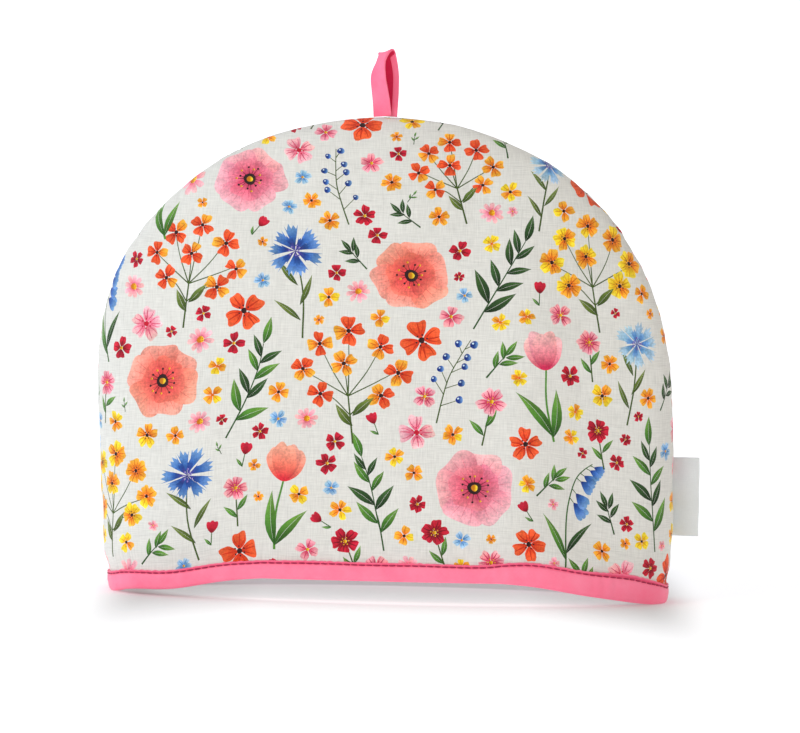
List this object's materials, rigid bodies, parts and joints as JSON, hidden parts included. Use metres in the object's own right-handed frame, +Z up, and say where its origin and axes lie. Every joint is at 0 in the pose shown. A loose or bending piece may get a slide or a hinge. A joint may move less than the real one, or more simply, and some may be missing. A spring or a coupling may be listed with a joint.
{
  "type": "tea cosy",
  "caption": "Padded half-round tea cosy standing open on its bound hem, with a hanging loop at the top of the seam and a blank side label.",
  "frame": {"origin": "on the surface that the hem stands on, under the middle of the part's bounding box", "axes": "+X to the labelled side of the seam, +Y from the front panel to the back panel, +Z up"},
  "size_m": [0.3242, 0.1202, 0.295],
  "materials": {
    "printed_cotton": "matt plain-weave cotton with a bright flower print, padded",
    "pink_binding": "matt cotton bias binding",
    "pink_tape": "matt cotton tape",
    "woven_label": "smooth white woven label, blank"
  },
  "bodies": {
    "root": {"panel_front": "printed_cotton", "panel_back": "printed_cotton", "hem_binding": "pink_binding", "hanging_loop": "pink_tape", "side_label": "woven_label"}
  },
  "joints": []
}
